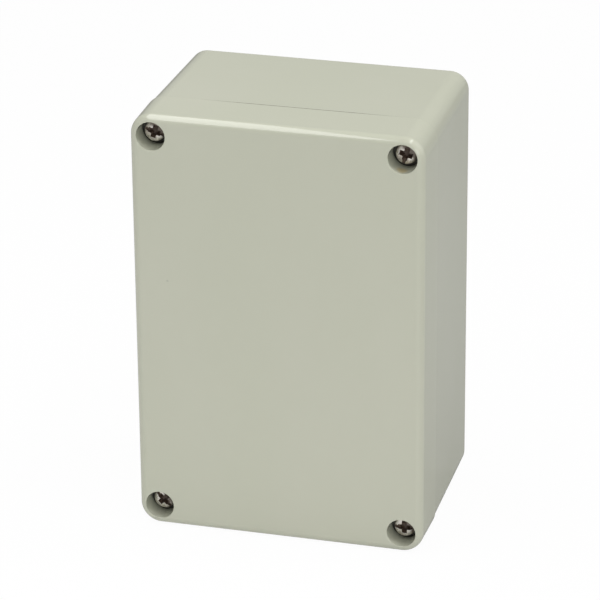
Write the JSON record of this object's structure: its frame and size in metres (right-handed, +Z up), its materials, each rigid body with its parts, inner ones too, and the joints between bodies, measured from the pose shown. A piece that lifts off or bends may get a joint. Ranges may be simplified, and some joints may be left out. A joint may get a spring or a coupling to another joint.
{
  "type": "plastic project box",
  "caption": "Upright two-part plastic enclosure with a shallow screwed lid, recessed captive corner screws and a sealed seam.",
  "frame": {"origin": "middle of the footprint at the level of the lowest edge, the lid's rim", "axes": "+Z up along the box's length, +X across its width, -Y out of the lid and +Y out of the wall side"},
  "size_m": [0.08, 0.055, 0.12],
  "materials": {
    "housing": "satin moulded light grey",
    "seal": "foamed elastomer",
    "screw_steel": "plain stainless steel",
    "insert_brass": "turned and knurled"
  },
  "bodies": {
    "base": {"base": "housing", "insert_top_left": "insert_brass", "insert_top_right": "insert_brass", "insert_bottom_left": "insert_brass", "insert_bottom_right": "insert_brass"},
    "lid": {"lid": "housing", "gasket": "seal"},
    "screw_top_left": {"lid_screw_top_left": "screw_steel"},
    "screw_top_right": {"lid_screw_top_right": "screw_steel"},
    "screw_bottom_left": {"lid_screw_bottom_left": "screw_steel"},
    "screw_bottom_right": {"lid_screw_bottom_right": "screw_steel"}
  },
  "joints": [
    {"name": "lid_off", "type": "slide", "parent": "base", "child": "lid", "axis": [0, -1, 0], "range_m": [0, 0.08]},
    {"name": "screw_top_left_out", "type": "slide", "parent": "lid", "child": "screw_top_left", "axis": [0, -1, 0], "range_m": [0, 0.0053]},
    {"name": "screw_top_right_out", "type": "slide", "parent": "lid", "child": "screw_top_right", "axis": [0, -1, 0], "range_m": [0, 0.0053]},
    {"name": "screw_bottom_left_out", "type": "slide", "parent": "lid", "child": "screw_bottom_left", "axis": [0, -1, 0], "range_m": [0, 0.0053]},
    {"name": "screw_bottom_right_out", "type": "slide", "parent": "lid", "child": "screw_bottom_right", "axis": [0, -1, 0], "range_m": [0, 0.0053]}
  ]
}
